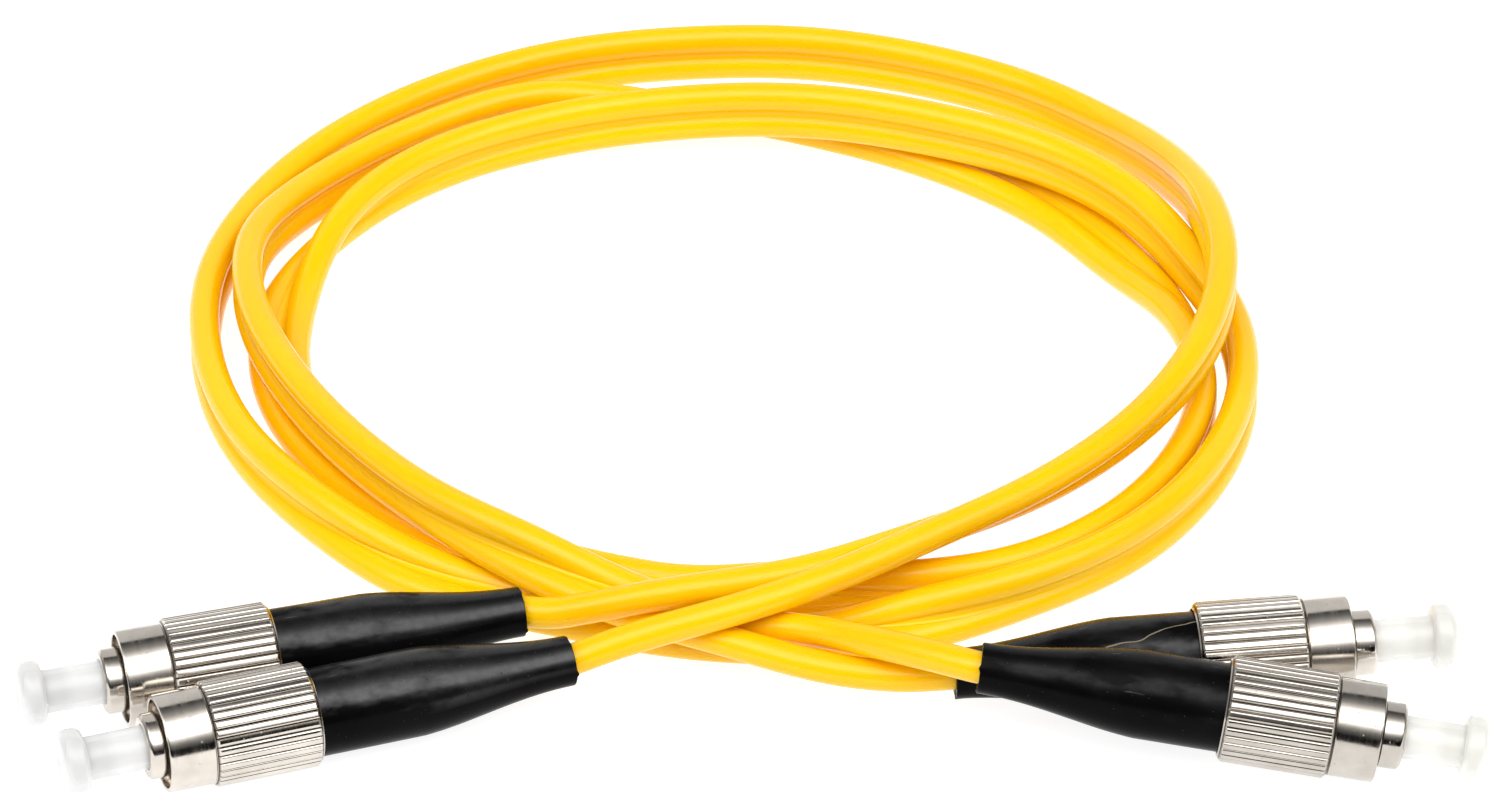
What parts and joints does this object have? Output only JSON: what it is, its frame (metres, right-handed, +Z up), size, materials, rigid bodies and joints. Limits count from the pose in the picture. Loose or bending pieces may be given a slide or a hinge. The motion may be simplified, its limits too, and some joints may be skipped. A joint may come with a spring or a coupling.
{
  "type": "fiber optic patch cord",
  "caption": "Yellow duplex fiber optic patch cord wound in a flat coil, with round threaded plugs, knurled nuts, black boots and dust caps on its split ends.",
  "frame": {"origin": "on the plane the cord lies on, under the middle of the box around the four plugs", "axes": "+Z up, +X along the row of plugs from the left pair to the right pair, +Y towards the coil"},
  "size_m": [0.1356, 0.1296, 0.014],
  "materials": {
    "yellow_jacket": "satin PVC jacket",
    "black_boot": "satin moulded",
    "nickel": "nickel plated, fine turned",
    "steel": "turned",
    "spring_steel": "drawn wire",
    "ceramic": "polished zirconia",
    "milky_cap": "translucent polyethylene",
    "white_buffer": "tight buffer",
    "white_washer": "smooth low-friction plastic",
    "yarn": "aramid yarn"
  },
  "bodies": {
    "cord": {"duplex_cord": "yellow_jacket", "left_front_lead": "yellow_jacket", "left_rear_lead": "yellow_jacket", "right_front_lead": "yellow_jacket", "right_rear_lead": "yellow_jacket", "left_front_plug_frame": "nickel", "left_front_ferrule_spring": "spring_steel", "left_front_back_body": "steel", "left_front_aramid_yarn": "yarn", "left_front_crimp_sleeve": "steel", "left_front_boot": "black_boot", "left_rear_plug_frame": "nickel", "left_rear_ferrule_spring": "spring_steel", "left_rear_back_body": "steel", "left_rear_aramid_yarn": "yarn", "left_rear_crimp_sleeve": "steel", "left_rear_boot": "black_boot", "right_front_plug_frame": "nickel", "right_front_ferrule_spring": "spring_steel", "right_front_back_body": "steel", "right_front_aramid_yarn": "yarn", "right_front_crimp_sleeve": "steel", "right_front_boot": "black_boot", "right_rear_plug_frame": "nickel", "right_rear_ferrule_spring": "spring_steel", "right_rear_back_body": "steel", "right_rear_aramid_yarn": "yarn", "right_rear_crimp_sleeve": "steel", "right_rear_boot": "black_boot"},
    "left_front_cap": {"left_front_dust_cap": "milky_cap"},
    "left_front_ferrule_unit": {"left_front_ferrule": "ceramic", "left_front_ferrule_holder": "steel", "left_front_fiber_buffer": "white_buffer"},
    "left_front_washer": {"left_front_slip_washer": "white_washer"},
    "left_front_nut": {"left_front_coupling_nut": "nickel"},
    "left_rear_cap": {"left_rear_dust_cap": "milky_cap"},
    "left_rear_ferrule_unit": {"left_rear_ferrule": "ceramic", "left_rear_ferrule_holder": "steel", "left_rear_fiber_buffer": "white_buffer"},
    "left_rear_washer": {"left_rear_slip_washer": "white_washer"},
    "left_rear_nut": {"left_rear_coupling_nut": "nickel"},
    "right_front_cap": {"right_front_dust_cap": "milky_cap"},
    "right_front_ferrule_unit": {"right_front_ferrule": "ceramic", "right_front_ferrule_holder": "steel", "right_front_fiber_buffer": "white_buffer"},
    "right_front_washer": {"right_front_slip_washer": "white_washer"},
    "right_front_nut": {"right_front_coupling_nut": "nickel"},
    "right_rear_cap": {"right_rear_dust_cap": "milky_cap"},
    "right_rear_ferrule_unit": {"right_rear_ferrule": "ceramic", "right_rear_ferrule_holder": "steel", "right_rear_fiber_buffer": "white_buffer"},
    "right_rear_washer": {"right_rear_slip_washer": "white_washer"},
    "right_rear_nut": {"right_rear_coupling_nut": "nickel"}
  },
  "joints": [
    {"name": "left_front_cap_pull", "type": "slide", "parent": "cord", "child": "left_front_cap", "axis": [-0.9455, -0.3256, 0], "range_m": [0, 0.01]},
    {"name": "left_front_nut_float", "type": "slide", "parent": "cord", "child": "left_front_washer", "axis": [-0.9455, -0.3256, 0], "range_m": [-0.0022, 0.0001]},
    {"name": "left_front_nut_spin", "type": "hinge", "parent": "left_front_washer", "child": "left_front_nut", "pos_m": [-0.04, -0.0036, 0.0049], "axis": [-0.9455, -0.3256, 0], "continuous": true},
    {"name": "left_front_ferrule_float", "type": "slide", "parent": "cord", "child": "left_front_ferrule_unit", "axis": [-0.9455, -0.3256, 0], "range_m": [-0.001, 0], "stiffness_N_per_m": 3000, "springref_m": 0.002, "deforming": ["left_front_ferrule_spring"]},
    {"name": "left_rear_cap_pull", "type": "slide", "parent": "cord", "child": "left_rear_cap", "axis": [-0.9613, -0.2756, 0], "range_m": [0, 0.01]},
    {"name": "left_rear_nut_float", "type": "slide", "parent": "cord", "child": "left_rear_washer", "axis": [-0.9613, -0.2756, 0], "range_m": [-0.0019, 0.0004]},
    {"name": "left_rear_nut_spin", "type": "hinge", "parent": "left_rear_washer", "child": "left_rear_nut", "pos_m": [-0.0443, 0.0055, 0.0049], "axis": [-0.9613, -0.2756, 0], "continuous": true},
    {"name": "left_rear_ferrule_float", "type": "slide", "parent": "cord", "child": "left_rear_ferrule_unit", "axis": [-0.9613, -0.2756, 0], "range_m": [-0.001, 0], "stiffness_N_per_m": 3000, "springref_m": 0.002, "deforming": ["left_rear_ferrule_spring"]},
    {"name": "right_front_cap_pull", "type": "slide", "parent": "cord", "child": "right_front_cap", "axis": [0.9867, -0.1072, -0.1219], "range_m": [0, 0.01]},
    {"name": "right_front_nut_float", "type": "slide", "parent": "cord", "child": "right_front_washer", "axis": [0.9867, -0.1072, -0.1219], "range_m": [-0.0015, 0.0008]},
    {"name": "right_front_nut_spin", "type": "hinge", "parent": "right_front_washer", "child": "right_front_nut", "pos_m": [0.0436, -0.0047, 0.0062], "axis": [0.9867, -0.1072, -0.1219], "continuous": true},
    {"name": "right_front_ferrule_float", "type": "slide", "parent": "cord", "child": "right_front_ferrule_unit", "axis": [0.9867, -0.1072, -0.1219], "range_m": [-0.001, 0], "stiffness_N_per_m": 3000, "springref_m": 0.002, "deforming": ["right_front_ferrule_spring"]},
    {"name": "right_rear_cap_pull", "type": "slide", "parent": "cord", "child": "right_rear_cap", "axis": [0.9944, 0.1045, 0.0175], "range_m": [0, 0.01]},
    {"name": "right_rear_nut_float", "type": "slide", "parent": "cord", "child": "right_rear_washer", "axis": [0.9944, 0.1045, 0.0175], "range_m": [-0.0014, 0.0009]},
    {"name": "right_rear_nut_spin", "type": "hinge", "parent": "right_rear_washer", "child": "right_rear_nut", "pos_m": [0.0416, 0.0053, 0.0049], "axis": [0.9944, 0.1045, 0.0175], "continuous": true},
    {"name": "right_rear_ferrule_float", "type": "slide", "parent": "cord", "child": "right_rear_ferrule_unit", "axis": [0.9944, 0.1045, 0.0175], "range_m": [-0.001, 0], "stiffness_N_per_m": 3000, "springref_m": 0.002, "deforming": ["right_rear_ferrule_spring"]}
  ]
}
